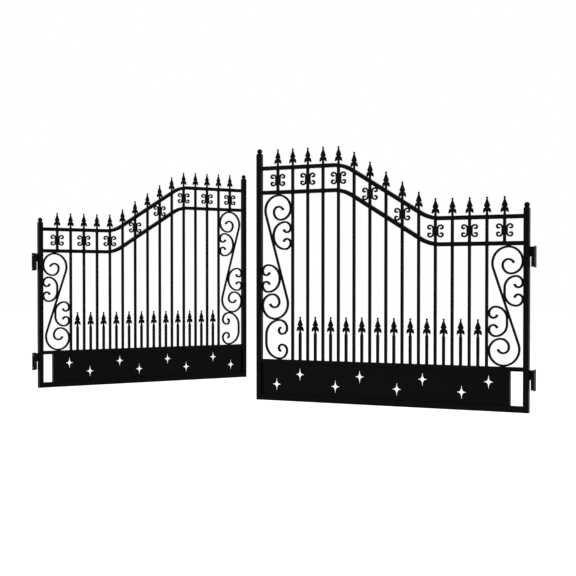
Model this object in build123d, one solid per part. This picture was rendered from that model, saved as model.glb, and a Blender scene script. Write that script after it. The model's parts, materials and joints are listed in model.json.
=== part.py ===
from build123d import *
import math
import os

# Pair of swinging driveway gates, made of black painted steel, with the
# hinge plates that bolt to the two pillars. Millimetres, +Z up.
# The origin is the centre of the left lower hinge plate, on its pillar side.
# +X runs across the drive to the right pillar and +Y into the property.
# Each leaf is drawn flat first: u from its hinge stile's outer face towards
# the meeting stile, v up from its lowest edge. Depth is centred on the leaf.

# Leaf frame
leaf_width = 2134.0
stile_width = 40.0
stile_depth = 40.0
rail_height = 30.0
rail_depth = 36.0
bottom_rail_height = 45.0
panel_top_height = 315.0
high_rail_top = 1790.0
low_rail_top = 1375.0
arch_spacing = 186.0
arch_bend_radius = 290.0
slope_run = 676.0
meeting_stile_rise = 92.0
hinge_stile_rise = 38.0

# Ball caps on the stiles
cap_height = 12.0
cap_top_width = 22.0
ball_radius = 20.0
ball_sink = 6.0
ball_sides = 8
ball_ring_angles = (-70, -35, 0, 35, 70)

# Pickets and dog bars
picket_width = 20.0
picket_count = 15
scroll_panel_width = 255.0
punch_clearance = 0.25
dog_bar_length = 201.0

# Spear finials, sizes measured from what they stand on
finial_thickness = 16.0
finial_neck = 9.0
finial_barb_height = 15.0
finial_barb_reach = 29.0
finial_shoulder_height = 45.0
finial_shoulder = 25.0
finial_crotch_height = 29.0
finial_waist_height = 53.0
finial_waist = 15.0
finial_blade_height = 63.0
finial_blade_reach = 23.0
finial_throat_height = 112.0
finial_throat = 5.5
finial_button = 8.0
finial_height = 128.0

# Kick panel with star cut-outs, and the open window beside it
window_width = 93.0
upright_width = 28.0
sheet_thickness = 3.0
star_height = 90.0
star_width = 64.0
star_tip = 3.0
star_side_flats = 3
star_pairs = 4
star_end_margin = 228.0
star_offset = 198.0
star_step = 80.0

# Scrolls are bent in short flats, finer on their wide bends
wide_flat_angle = 15.0
curl_flat_angle = 30.0
small_flat_angle = 45.0

# Large scrolls in the two side panels of each leaf
scroll_bar = 15.0
scroll_depth = 20.0
loop_side_gap = 23.0
loop_first_share = 0.53
loop_inner_shares = (0.39, 0.27, 0.19)
loop_end_share = 0.19
loop_end_angle = 70.0
c_place = 315.0
c_half_height = 103.0
weld_sink = 0.1
rest_sink = 1.4
c_curls = (47.0, 31.0)
c_end_curl = 28.0
c_end_angle = 80.0
low_c_height = 308.0
low_c_side_gap = 30.5
low_c_curls = (63.0, 43.0, 27.0)
low_c_end_curl = 22.0

# Small back-to-back scrolls on every other picket, between the arch rails
small_bar = 12.5
small_depth = 16.0
small_straight = 17.0
small_belly = 24.0
small_curls = (15.5, 13.0)

# Hinges
lower_hinge_height = 226.0
upper_hinge_height = 1080.0
plate_thickness = 6.0
plate_width = 50.0
plate_height = 150.0
plate_hole_radius = 5.0
plate_hole_spacing_y = 30.0
plate_hole_spacing_z = 110.0
barrel_radius = 11.0
barrel_height = 140.0
knuckle_gap = 1.0
barrel_to_plate_gap = 3.0
barrel_to_stile_gap = 5.0
pin_radius = 6.0
pin_clearance = 0.05
pin_top_sink = 3.0

# How the pair stands: degrees that each leaf is open, and the middle gap
left_open_angle = 63.0
right_open_angle = 0.0
meeting_gap = 24.0

# Places that follow from the sizes above
axis_x = plate_thickness + barrel_to_plate_gap + barrel_radius
axis_to_stile = barrel_radius + barrel_to_stile_gap
opening_width = 2 * (axis_x + axis_to_stile + leaf_width) + meeting_gap
inner_hinge_side = stile_width
inner_meeting_side = leaf_width - stile_width
leaf_middle = leaf_width / 2
full_picket_span = inner_meeting_side - inner_hinge_side - 2 * scroll_panel_width - picket_width
picket_pitch = full_picket_span / (picket_count - 3)
picket_places = [
    leaf_middle + (index - (picket_count - 1) / 2) * picket_pitch
    for index in range(picket_count)
]
full_picket_places = picket_places[1:-1]
dog_bar_places = [place + picket_pitch / 2 for place in full_picket_places[:-1]]
arch_rise = high_rail_top - low_rail_top
slope_angle = math.degrees(math.atan2(arch_rise, slope_run))
bend_tangent = arch_bend_radius * math.tan(math.radians(slope_angle / 2))
slope_start = leaf_middle - slope_run / 2
slope_end = leaf_middle + slope_run / 2
sheet_start = inner_hinge_side + window_width + upright_width
star_pair_pitch = (inner_meeting_side - sheet_start - 2 * star_end_margin) / (star_pairs - 1)


def straight(length):
    """A straight stretch of a bar's centreline."""
    return (0.0, length, 0.0)


def bend(radius, degrees, flat_angle=0.0):
    """A bend of a bar's centreline, to the left when degrees is positive, in flats or smooth."""
    return (radius, degrees, flat_angle)


def point_about(centre, radius, degrees):
    """Point at an angle on a circle."""
    angle = math.radians(degrees)
    return (centre[0] + radius * math.cos(angle), centre[1] + radius * math.sin(angle))


def bend_edges(centre, radius, start, degrees, flat_angle):
    """Edges about a centre from a start angle: one arc, or flats of equal length."""
    if flat_angle == 0:
        shares = (0.0, 0.5, 1.0)
        return [ThreePointArc(*[point_about(centre, radius, start + degrees * s) for s in shares])]
    count = math.ceil(abs(degrees) / flat_angle - 1e-6)
    points = [point_about(centre, radius, start + degrees * i / count) for i in range(count + 1)]
    return [Line(first, second) for first, second in zip(points, points[1:])]


def bar_edges(start, heading, moves, width):
    """The left and right edges of a bar bent along straights and bends."""
    point = start
    left = []
    right = []
    for radius, amount, flat_angle in moves:
        if radius == 0:
            end = point_about(point, amount, heading)
            for edges, side in ((left, 90), (right, -90)):
                near = point_about(point, width / 2, heading + side)
                far = point_about(end, width / 2, heading + side)
                edges.append(Line(near, far))
        else:
            turn = math.copysign(1, amount)
            centre = point_about(point, radius, heading + 90 * turn)
            begin = heading - 90 * turn
            for edges, side in ((left, -turn), (right, turn)):
                edge_radius = radius + side * width / 2
                edges.extend(bend_edges(centre, edge_radius, begin, amount, flat_angle))
            end = point_about(centre, radius, begin + amount)
            heading = heading + amount
        point = end
    return left, right


def two_arm_face(middle, heading, arm, other_arm, width):
    """Face of a scroll that runs both ways from its middle point."""
    outline = []
    for direction, moves in ((heading, arm), (heading + 180, other_arm)):
        left, right = bar_edges(middle, direction, moves, width)
        outline = outline + left + [Line(left[-1] @ 1, right[-1] @ 1)] + right
    return make_face(outline)


def flat_bar(face, depth):
    """Solid of a drawn face, given its depth and stood upright."""
    return Rot(90, 0, 0) * extrude(face, depth / 2, both=True)


def box_between(low_u, high_u, low_v, high_v, depth):
    """Square-ended bar between two places along u and two heights."""
    middle = ((low_u + high_u) / 2, 0, (low_v + high_v) / 2)
    return Pos(*middle) * Box(high_u - low_u, depth, high_v - low_v)


def arch_height(place):
    """Height of the arch's line above its low end, bends included."""
    if place > leaf_middle:
        return arch_rise - arch_height(2 * leaf_middle - place)
    into_bend = place - (slope_start - bend_tangent)
    bend_run = arch_bend_radius * math.sin(math.radians(slope_angle))
    if into_bend <= 0:
        return 0.0
    if into_bend < bend_run:
        return arch_bend_radius - math.sqrt(arch_bend_radius**2 - into_bend**2)
    return (place - slope_start) * math.tan(math.radians(slope_angle))


def arch_edges(drop):
    """Upper and lower edges of an arch rail that lies this far down."""
    start = (inner_hinge_side, low_rail_top - drop - rail_height / 2)
    moves = [
        straight(slope_start - inner_hinge_side - bend_tangent),
        bend(arch_bend_radius, slope_angle),
        straight(math.hypot(slope_run, arch_rise) - 2 * bend_tangent),
        bend(arch_bend_radius, -slope_angle),
        straight(inner_meeting_side - slope_end - bend_tangent),
    ]
    return bar_edges(start, 0.0, moves, rail_height)


def arch_rail(drop):
    """Curved rail between the stiles, rising towards the meeting stile."""
    upper, lower = arch_edges(drop)
    ends = [Line(upper[0] @ 0, lower[0] @ 0), Line(upper[-1] @ 1, lower[-1] @ 1)]
    return flat_bar(make_face(upper + lower + ends), rail_depth)


def area_under(edges):
    """The leaf's area below an arch line, down to its lowest edge."""
    start = edges[0] @ 0
    end = edges[-1] @ 1
    foot_start = (start.X, 0)
    foot_end = (end.X, 0)
    sides = [Line(start, foot_start), Line(foot_start, foot_end), Line(foot_end, end)]
    return make_face(edges + sides)


def upright_bar(place, low_v, high_v):
    """Drawn rectangle of one picket."""
    middle = Pos(place, (low_v + high_v) / 2)
    return middle * Rectangle(picket_width, high_v - low_v)


def stile(low_u, top):
    """One of a leaf's two side posts."""
    return box_between(low_u, low_u + stile_width, 0, top, stile_depth)


def ball():
    """Ball drawn as rings of flats."""
    rings = []
    for angle in ball_ring_angles:
        across, height = point_about((0, 0), ball_radius, angle)
        rings.append((Pos(0, 0, height) * RegularPolygon(across, ball_sides)).face())
    return loft(rings, ruled=True)


def ball_cap(middle_u, base):
    """Sloped cap with a ball, on top of a stile."""
    foot = Pos(middle_u, 0, base) * Rectangle(stile_width, stile_depth)
    crown = Pos(middle_u, 0, base + cap_height) * Rectangle(cap_top_width, cap_top_width)
    ball_middle = base + cap_height - ball_sink + ball_radius
    return loft([foot.face(), crown.face()]) + Pos(middle_u, 0, ball_middle) * ball()


def top_rail():
    """Upper arch rail."""
    return arch_rail(0)


def second_rail():
    """Lower arch rail, punched for the pickets that pass through it."""
    punch = picket_width + 2 * punch_clearance
    cutters = []
    for place in full_picket_places:
        cutters.append(Pos(place, 0, high_rail_top / 2) * Box(punch, punch, high_rail_top))
    return arch_rail(arch_spacing) - cutters


def pickets():
    """Full pickets and the short bar at each end of the arch."""
    below_top_rail = area_under(arch_edges(0)[1])
    solids = []
    for place in picket_places:
        bottom = panel_top_height
        if place not in full_picket_places:
            bottom = low_rail_top + arch_height(place) - arch_spacing
        bar = upright_bar(place, bottom, high_rail_top) & below_top_rail
        solids.append(flat_bar(bar, picket_width))
    return solids


def dog_bars():
    """Short bars between the pickets, low down."""
    solids = []
    for place in dog_bar_places:
        half = picket_width / 2
        top = panel_top_height + dog_bar_length
        solids.append(box_between(place - half, place + half, panel_top_height, top, picket_width))
    return solids


def finial_face(root):
    """Outline of a spear finial whose neck starts below its seat by root."""
    half = [
        (finial_neck, -root),
        (finial_neck, finial_crotch_height),
        (finial_barb_reach, finial_barb_height),
        (finial_shoulder, finial_shoulder_height),
        (finial_waist, finial_waist_height),
        (finial_blade_reach, finial_blade_height),
        (finial_throat, finial_throat_height),
        (finial_button, finial_height),
    ]
    other_half = [(-x, y) for x, y in reversed(half)]
    return make_face(Polyline(*half, *other_half, close=True))


def picket_finials():
    """Spear finials on the top rail, cut to its slope."""
    below_rail_top = area_under(arch_edges(0)[0])
    solids = []
    for place in picket_places:
        seat = low_rail_top + arch_height(place)
        spear = Pos(place, seat) * finial_face(rail_height / 2) - below_rail_top
        solids.append(flat_bar(spear, finial_thickness))
    return solids


def dog_bar_finials():
    """Spear finials on the dog bars."""
    seat = panel_top_height + dog_bar_length
    return [flat_bar(Pos(place, seat) * finial_face(0), finial_thickness) for place in dog_bar_places]


def star_face():
    """Four-pointed star with hollow sides and blunt tips."""
    points = []
    for quarter in range(4):
        wide, tall = (star_width, star_height) if quarter % 2 == 0 else (star_height, star_width)
        for flat in range(star_side_flats + 1):
            angle = math.radians(180 + 90 * flat / star_side_flats)
            out = wide / 2 + (wide - star_tip) / 2 * math.cos(angle)
            up = tall / 2 + (tall - star_tip) / 2 * math.sin(angle)
            turned = Vector(out, up).rotate(Axis.Z, -90 * quarter)
            points.append(turned)
    return make_face(Polyline(*points, close=True))


def kick_panel():
    """Sheet below the pickets, with pairs of star cut-outs."""
    top = panel_top_height - rail_height
    sheet = box_between(sheet_start, inner_meeting_side, bottom_rail_height, top, sheet_thickness)
    middle_u = (sheet_start + inner_meeting_side) / 2
    middle_v = (bottom_rail_height + top) / 2
    cutters = []
    for pair in range(star_pairs):
        pair_u = middle_u + (pair - (star_pairs - 1) / 2) * star_pair_pitch
        for side in (-1, 1):
            star = Pos(pair_u + side * star_offset / 2, middle_v - side * star_step / 2) * star_face()
            cutters.append(flat_bar(star, 2 * sheet_thickness))
    return sheet - cutters


def c_scroll(belly, opens, belly_straight, bends, bar, depth):
    """C scroll whose two arms start upright at its belly; opens is -1 or 1 along u."""
    arms = []
    for turn in (-opens, opens):
        arm = [straight(belly_straight)]
        for radius, degrees, flat_angle in bends:
            arm.append(bend(radius, degrees * turn, flat_angle))
        arms.append(arm)
    return flat_bar(two_arm_face(belly, 90, arms[0], arms[1], bar), depth)


def curl(big, curls, end_curl):
    """Bends of one arm of a large C scroll, from its belly inwards."""
    bends = [bend(big, 90, wide_flat_angle)]
    for radius in curls:
        bends.append(bend(radius, 90, curl_flat_angle))
    return bends + [bend(end_curl, c_end_angle, curl_flat_angle)]


def panel_limits(low_u, high_u):
    """Centreline limits of bars that touch both sides of a panel."""
    return low_u + scroll_bar / 2, high_u - scroll_bar / 2


def loop_sizes(low_u, high_u):
    """First and inner radii of the loops of a panel's S scroll."""
    low, high = panel_limits(low_u, high_u)
    width = high - low - loop_side_gap
    first = width * loop_first_share
    inner = [width - first] + [width * share for share in loop_inner_shares]
    return first, inner, width * loop_end_share


def s_diagonal(low_u, high_u, low_v, high_v):
    """Ends of the straight middle of an S scroll, and its heading."""
    low, high = panel_limits(low_u, high_u)
    first = loop_sizes(low_u, high_u)[0]
    low_centre = (low + loop_side_gap + first, low_v + scroll_bar / 2 + first)
    high_centre = (high - loop_side_gap - first, high_v - scroll_bar / 2 - first)
    across = high_centre[0] - low_centre[0]
    up = high_centre[1] - low_centre[1]
    lean = math.degrees(math.asin(2 * first / math.hypot(across, up)))
    heading = math.degrees(math.atan2(up, across)) - lean
    side_x = math.sin(math.radians(heading)) * first
    side_y = -math.cos(math.radians(heading)) * first
    start = (low_centre[0] - side_x, low_centre[1] - side_y)
    end = (high_centre[0] + side_x, high_centre[1] + side_y)
    return start, end, heading


def s_scroll(low_u, high_u, low_v, high_v):
    """S scroll that fills a side panel from one height to another."""
    start, end, heading = s_diagonal(low_u, high_u, low_v, high_v)
    first, inner, last = loop_sizes(low_u, high_u)
    length = math.dist(start, end)
    arm = [straight(length / 2), bend(first, 180 - heading, wide_flat_angle)]
    for radius in inner:
        arm.append(bend(radius, 90, curl_flat_angle))
    arm.append(bend(last, loop_end_angle, curl_flat_angle))
    middle = ((start[0] + end[0]) / 2, (start[1] + end[1]) / 2)
    return flat_bar(two_arm_face(middle, heading, arm, arm, scroll_bar), scroll_depth)


def side_c_scrolls(low_u, high_u, low_v, high_v):
    """Two C scrolls that nestle against the straight middle of the S scroll."""
    low, high = panel_limits(low_u, high_u)
    start, end, heading = s_diagonal(low_u, high_u, low_v, high_v)
    across = math.sin(math.radians(heading))
    up = math.cos(math.radians(heading))
    solids = []
    for opens in (-1, 1):
        height = high_v - c_place if opens < 0 else low_v + c_place
        curl_side = low if opens < 0 else high
        arm_end_u = curl_side - opens * c_curls[0]
        arm_end_v = height + opens * c_half_height
        away = opens * ((arm_end_u - start[0]) * across - (arm_end_v - start[1]) * up)
        big = (away - scroll_bar + weld_sink) / (1 - up)
        belly = (arm_end_u - opens * big, height)
        bends = curl(big, c_curls, c_end_curl)
        bar = c_scroll(belly, opens, c_half_height - big, bends, scroll_bar, scroll_depth)
        solids.append(bar)
    return solids


def low_c_scroll(low_u, high_u, low_v):
    """C scroll that carries the S scroll of the taller panel."""
    low, high = panel_limits(low_u, high_u)
    width = high - low - 2 * low_c_side_gap
    big = width - low_c_curls[0]
    belly_straight = (low_c_height - scroll_bar) / 2 - big
    belly = (high - low_c_side_gap, low_v + low_c_height / 2)
    bends = curl(big, low_c_curls, low_c_end_curl)
    return c_scroll(belly, -1, belly_straight, bends, scroll_bar, scroll_depth)


def hinge_panel():
    """Limits of the scroll panel beside the hinge stile."""
    high_u = full_picket_places[0] - picket_width / 2
    high_v = low_rail_top - arch_spacing - rail_height
    return inner_hinge_side, high_u, panel_top_height, high_v


def meeting_panel():
    """Limits of the S scroll's space beside the meeting stile."""
    low_u = full_picket_places[-1] + picket_width / 2
    high_v = high_rail_top - arch_spacing - rail_height
    return low_u, inner_meeting_side, panel_top_height + low_c_height - s_rest_drop(), high_v


def s_rest_drop():
    """How far the S scroll comes down past the low C scroll's top, beside it, to rest on it."""
    low_u = full_picket_places[-1] + picket_width / 2
    low, high = panel_limits(low_u, inner_meeting_side)
    first = loop_sizes(low_u, inner_meeting_side)[0]
    big = high - low - 2 * low_c_side_gap - low_c_curls[0]
    aside = (low + loop_side_gap + first) - (high - low_c_side_gap - big)
    reach = first + big + scroll_bar
    return reach - math.sqrt(reach**2 - aside**2) + rest_sink


def meeting_side_c_scrolls():
    """The three C scrolls of the taller panel."""
    low_u, high_u, low_v, high_v = meeting_panel()
    low_scroll = low_c_scroll(low_u, high_u, panel_top_height)
    return side_c_scrolls(low_u, high_u, low_v, high_v) + [low_scroll]


def butterfly_scrolls():
    """Pairs of small C scrolls, back to back on every other picket."""
    bends = [bend(radius, 90, small_flat_angle) for radius in (small_belly, *small_curls)]
    solids = []
    for place in picket_places[::2]:
        rail_gap_top = low_rail_top + arch_height(place) - rail_height
        rail_gap_bottom = low_rail_top + arch_height(place) - arch_spacing
        height = (rail_gap_top + rail_gap_bottom) / 2
        for opens in (-1, 1):
            belly = (place + opens * (picket_width + small_bar) / 2, height)
            solids.append(c_scroll(belly, opens, small_straight, bends, small_bar, small_depth))
    return solids


def hinge_heights():
    """Heights of the two hinges' middles above the leaf's lowest edge."""
    return (lower_hinge_height, upper_hinge_height)


def barrel_with_arm(far_x, low_z, high_z):
    """Barrel about the axis at zero, with a flat arm along its front half to a far face."""
    height = high_z - low_z
    arm = Pos(far_x / 2, -barrel_radius / 2) * Box(abs(far_x), barrel_radius, height)
    return Pos(0, 0, (low_z + high_z) / 2) * (Cylinder(barrel_radius, height) + arm)


def gate_knuckle():
    """Knuckle welded to the hinge stile, bored for the bracket's pin."""
    barrel = barrel_with_arm(axis_to_stile, knuckle_gap / 2, barrel_height / 2)
    return barrel - Cylinder(pin_radius + pin_clearance, 2 * barrel_height)


def hinge_bracket():
    """Plate that bolts to the pillar, with the barrel and pin that carry the leaf."""
    bracket = Pos(plate_thickness / 2 - axis_x) * Box(plate_thickness, plate_width, plate_height)
    bracket = bracket + barrel_with_arm(
        plate_thickness - axis_x, -barrel_height / 2, -knuckle_gap / 2
    )
    pin_length = barrel_height - pin_top_sink
    bracket = bracket + Pos(0, 0, -pin_top_sink / 2) * Cylinder(pin_radius, pin_length)
    hole = Rot(0, 90, 0) * Cylinder(plate_hole_radius, 2 * plate_thickness)
    for y in (-plate_hole_spacing_y / 2, plate_hole_spacing_y / 2):
        for z in (-plate_hole_spacing_z / 2, plate_hole_spacing_z / 2):
            bracket = bracket - Pos(-axis_x, y, z) * hole
    return bracket


def on_hinge_axis(shape):
    """Copies of a hinge piece at both hinges, in the flat leaf's place."""
    return [Pos(-axis_to_stile, stile_depth / 2, height) * shape for height in hinge_heights()]


def leaf_parts():
    """Every piece that swings with a leaf."""
    hinge_top = low_rail_top + hinge_stile_rise
    meeting_top = high_rail_top + meeting_stile_rise
    panel_rail_low = panel_top_height - rail_height
    upright_start = inner_hinge_side + window_width
    return {
        "hinge_stile": [stile(0, hinge_top)],
        "meeting_stile": [stile(inner_meeting_side, meeting_top)],
        "stile_caps": [
            ball_cap(stile_width / 2, hinge_top),
            ball_cap(leaf_width - stile_width / 2, meeting_top),
        ],
        "top_rail": [top_rail()],
        "second_rail": [second_rail()],
        "panel_top_rail": [
            box_between(
                inner_hinge_side, inner_meeting_side, panel_rail_low, panel_top_height, rail_depth
            )
        ],
        "bottom_rail": [
            box_between(inner_hinge_side, inner_meeting_side, 0, bottom_rail_height, rail_depth)
        ],
        "panel_upright": [
            box_between(upright_start, sheet_start, bottom_rail_height, panel_rail_low, rail_depth)
        ],
        "kick_panel": [kick_panel()],
        "pickets": pickets(),
        "dog_bars": dog_bars(),
        "picket_finials": picket_finials(),
        "dog_bar_finials": dog_bar_finials(),
        "butterfly_scrolls": butterfly_scrolls(),
        "meeting_side_s_scroll": [s_scroll(*meeting_panel())],
        "meeting_side_c_scrolls": meeting_side_c_scrolls(),
        "hinge_side_s_scroll": [s_scroll(*hinge_panel())],
        "hinge_side_c_scrolls": side_c_scrolls(*hinge_panel()),
        "gate_knuckles": on_hinge_axis(gate_knuckle()),
    }


def fixed_parts():
    """Every piece that stays on the pillar beside a leaf."""
    return {"hinge_brackets": on_hinge_axis(hinge_bracket())}


def stand(shape, side, swing):
    """Move a piece of the flat leaf to its place at the left or right pillar."""
    about_axis = Pos(axis_to_stile, -stile_depth / 2, -lower_hinge_height) * shape
    if side == "left":
        return Pos(axis_x, 0, 0) * Rot(0, 0, swing) * about_axis
    mirrored = mirror(about_axis, about=Plane.YZ)
    return Pos(opening_width - axis_x, 0, 0) * Rot(0, 0, -swing) * mirrored


def write_parts(parts, side, swing):
    """Write each named piece of one side to its own file."""
    for name, solids in parts.items():
        placed = [stand(solid, side, swing) for solid in solids]
        export_step(Compound(children=placed), f"parts/{side}_{name}.step")


os.makedirs("parts", exist_ok=True)
leaf = leaf_parts()
fixed = fixed_parts()
for leaf_side, open_angle in (("left", left_open_angle), ("right", right_open_angle)):
    write_parts(leaf, leaf_side, open_angle)
    write_parts(fixed, leaf_side, 0.0)
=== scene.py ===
# %% [markdown]
# # A pair of wrought iron driveway gates
#
# This lesson dresses a pair of black steel gate leaves: the right leaf is
# closed and the left one stands open. Their sizes could be chosen anew, but
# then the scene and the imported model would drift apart. So the sizes are read
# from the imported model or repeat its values, and only what it leaves out,
# such as the welds, gets sizes of its own. Every piece rides on the leaf or
# the hinge bracket that it belongs to.

# %% Load the gate
import json
import math
import random

import bmesh
import bpy
from mathutils import Matrix, Vector


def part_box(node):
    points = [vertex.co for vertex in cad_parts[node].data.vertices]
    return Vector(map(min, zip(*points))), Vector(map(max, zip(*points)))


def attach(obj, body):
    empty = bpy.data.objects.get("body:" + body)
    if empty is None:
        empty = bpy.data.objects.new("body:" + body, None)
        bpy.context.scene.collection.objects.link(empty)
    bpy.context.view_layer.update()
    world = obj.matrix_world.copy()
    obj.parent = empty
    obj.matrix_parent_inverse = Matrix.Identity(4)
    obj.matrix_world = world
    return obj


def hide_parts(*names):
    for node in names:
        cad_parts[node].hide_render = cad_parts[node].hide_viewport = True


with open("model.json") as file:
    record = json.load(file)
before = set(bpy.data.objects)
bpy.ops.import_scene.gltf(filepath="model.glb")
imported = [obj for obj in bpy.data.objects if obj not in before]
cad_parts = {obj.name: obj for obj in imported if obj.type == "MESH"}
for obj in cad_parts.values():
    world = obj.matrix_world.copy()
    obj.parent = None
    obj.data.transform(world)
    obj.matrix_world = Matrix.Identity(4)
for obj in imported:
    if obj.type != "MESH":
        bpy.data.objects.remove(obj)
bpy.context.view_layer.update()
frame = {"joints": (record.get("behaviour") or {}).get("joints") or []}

# %% [markdown]
# ## Working on a flat leaf
#
# Both leaves are the same leaf. Each could be drawn where it stands, but on
# the open one that would mean slanted sizes, so a piece is drawn once, on a
# flat leaf. There u runs from the hinge stile to the meeting stile, d is the
# depth and v is the height. The closed right leaf gives the sizes, because
# its sides lie along the axes.

# %% The leaf's own sizes
MM = 0.001
hinge_stile_low, hinge_stile_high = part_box("right_hinge_stile")
meeting_stile_low, meeting_stile_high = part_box("right_meeting_stile")
leaf_bottom = hinge_stile_low.z
leaf_width = hinge_stile_high.x - meeting_stile_low.x
stile_width = hinge_stile_high.x - hinge_stile_low.x
leaf_plane = (hinge_stile_high.y + hinge_stile_low.y) / 2
hinge_stile_top = hinge_stile_high.z - leaf_bottom
meeting_stile_top = meeting_stile_high.z - leaf_bottom
print("each leaf is", round(leaf_width, 4), "m wide, its stiles", round(stile_width, 4))
print("stiles stand", round(hinge_stile_top, 4), "and", round(meeting_stile_top, 4), "m high")

# %% [markdown]
# ## Where each leaf stands
#
# A real leaf hangs on its hinges and turns about their upright axis. Its
# place could be set by eye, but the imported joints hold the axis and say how
# far the left leaf stands open at rest. So the left leaf's place is worked
# out from its joint. The right leaf is the same drawing turned half round.

# %% The place of each leaf
joints = {joint["name"]: joint for joint in frame["joints"]}
left_axis = Vector(joints["left_leaf_swing"]["pos_m"])
right_axis = Vector(joints["right_leaf_swing"]["pos_m"])
left_open = -math.radians(joints["left_leaf_swing"]["range_deg"][0])
axis_to_stile = right_axis.x - hinge_stile_high.x

on_axis = Matrix.Translation((axis_to_stile, leaf_plane, leaf_bottom))
leaf_place = {
    "left": Matrix.Translation(left_axis) @ Matrix.Rotation(left_open, 4, "Z") @ on_axis,
    "right": Matrix.Translation((hinge_stile_high.x, leaf_plane, leaf_bottom))
    @ Matrix.Rotation(math.pi, 4, "Z"),
}
print("the left leaf stands", round(math.degrees(left_open), 2), "degrees open")

# %% [markdown]
# ## Black coats
#
# Gates like these are sprayed or powder coated in near-black. The coat is
# never a flat black: it has a fine orange-peel ripple, a slow drift in gloss
# and a trace of dust that lifts the black in places. A painted picture
# could be wrapped round the bars, but noise in the object's own space has no
# seams and needs no unwrapping. Two helpers set it up: the noise itself, and
# a ramp that turns it into colours or gloss.

# %% Noise and ramps
ramp_start = 0.3
ramp_end = 0.7


def noise(nodes, scale, detail=3.0):
    """A noise texture in object space, with features of about 1 / scale metres."""
    texture = nodes.new("ShaderNodeTexNoise")
    texture.inputs["Scale"].default_value = scale
    texture.inputs["Detail"].default_value = detail
    return texture


def ramp(nodes, low, high):
    """A colour ramp between two colours."""
    node = nodes.new("ShaderNodeValToRGB")
    for element, colour in zip(node.color_ramp.elements, (low, high)):
        element.color = (*colour, 1)
    node.color_ramp.elements[0].position = ramp_start
    node.color_ramp.elements[1].position = ramp_end
    return node


print("each ramp climbs between", ramp_start, "and", ramp_end, "of the noise")

# %% [markdown]
# ## How a coat is put together
#
# One noise tints the coat from dark to light, one moves its gloss, and a
# third, much finer, is its ripple. The ripple could be real geometry, but at
# most it is about a tenth of a millimetre deep, so bump is enough for it. The
# coat reflects little, or the white room would turn the black to grey.

# %% A coat of paint
drift_scale = 9.0
smear_scale = 26.0
smear_detail = 5.0
ripple_detail = 4.0
ripple_strength = 0.6


def coat(name, dark, light, gloss, ripple_size, ripple_depth, specular):
    """A painted metal: colour drift, gloss drift and a fine ripple or grain."""
    material = bpy.data.materials.new(name)
    material.use_nodes = True
    nodes = material.node_tree.nodes
    links = material.node_tree.links
    shader = nodes["Principled BSDF"]
    place = nodes.new("ShaderNodeTexCoord").outputs["Object"]

    drift = noise(nodes, drift_scale)
    tint = ramp(nodes, dark, light)
    links.new(place, drift.inputs["Vector"])
    links.new(drift.outputs["Fac"], tint.inputs["Fac"])
    links.new(tint.outputs["Color"], shader.inputs["Base Color"])

    rough = ramp(nodes, (gloss[0],) * 3, (gloss[1],) * 3)
    smear = noise(nodes, smear_scale, smear_detail)
    links.new(place, smear.inputs["Vector"])
    links.new(smear.outputs["Fac"], rough.inputs["Fac"])
    links.new(rough.outputs["Color"], shader.inputs["Roughness"])

    ripple = noise(nodes, 1 / ripple_size, ripple_detail)
    bump = nodes.new("ShaderNodeBump")
    bump.inputs["Strength"].default_value = ripple_strength
    bump.inputs["Distance"].default_value = ripple_depth
    links.new(place, ripple.inputs["Vector"])
    links.new(ripple.outputs["Fac"], bump.inputs["Height"])
    links.new(bump.outputs["Normal"], shader.inputs["Normal"])

    shader.inputs["Specular IOR Level"].default_value = specular
    return material


print("colour drifts over", round(1 / drift_scale, 3), "m and gloss over", round(1 / smear_scale, 3), "m")

# %% [markdown]
# ## The five finishes
#
# One black for the whole gate would look like a cut-out. On a real gate the
# drawn tube is the smoothest, bent bar keeps hammer marks, castings are
# rough because the sand shows through the paint, sheet is flat and even, and
# the hinges are a dark grey. So each gets the same coat with its own numbers:
# two colours, two roughnesses, and the size and depth of its ripple.

# %% Mix the five finishes
black_shine = 0.05
hinge_shine = 0.06
frame_coat = coat(
    "black_powder_coat", dark=(0.0014, 0.0014, 0.0017), light=(0.0030, 0.0030, 0.0036),
    gloss=(0.30, 0.42), ripple_size=4.0 * MM, ripple_depth=0.05 * MM, specular=black_shine,
)
scroll_coat = coat(
    "black_coat_on_bent_bar", dark=(0.0014, 0.0014, 0.0017), light=(0.0032, 0.0032, 0.0038),
    gloss=(0.32, 0.46), ripple_size=7.0 * MM, ripple_depth=0.12 * MM, specular=black_shine,
)
casting_coat = coat(
    "black_paint_on_casting", dark=(0.0016, 0.0016, 0.0019), light=(0.0040, 0.0040, 0.0046),
    gloss=(0.38, 0.54), ripple_size=1.8 * MM, ripple_depth=0.12 * MM, specular=black_shine,
)
sheet_coat = coat(
    "black_powder_coat_on_sheet", dark=(0.0020, 0.0020, 0.0025), light=(0.0030, 0.0030, 0.0036),
    gloss=(0.34, 0.46), ripple_size=4.0 * MM, ripple_depth=0.05 * MM, specular=black_shine,
)
hinge_coat = coat(
    "dark_grey_hinge_paint", dark=(0.0110, 0.0110, 0.0114), light=(0.0160, 0.0160, 0.0165),
    gloss=(0.36, 0.50), ripple_size=2.5 * MM, ripple_depth=0.10 * MM, specular=hinge_shine,
)
print("finishes:", [m.name for m in (frame_coat, scroll_coat, casting_coat, sheet_coat, hinge_coat)])

# %% [markdown]
# ## From a drawn shape to a mesh
#
# A piece is drawn into a bmesh, which is a mesh that can still be edited
# point by point. Flat shading would show the small strips that make up each
# round corner, and fully smooth shading would blur the real edges. So all
# faces are smooth, and only edges that turn sharply stay hard.

# %% Make a mesh
hard_edge_angle = math.radians(38)


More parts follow.
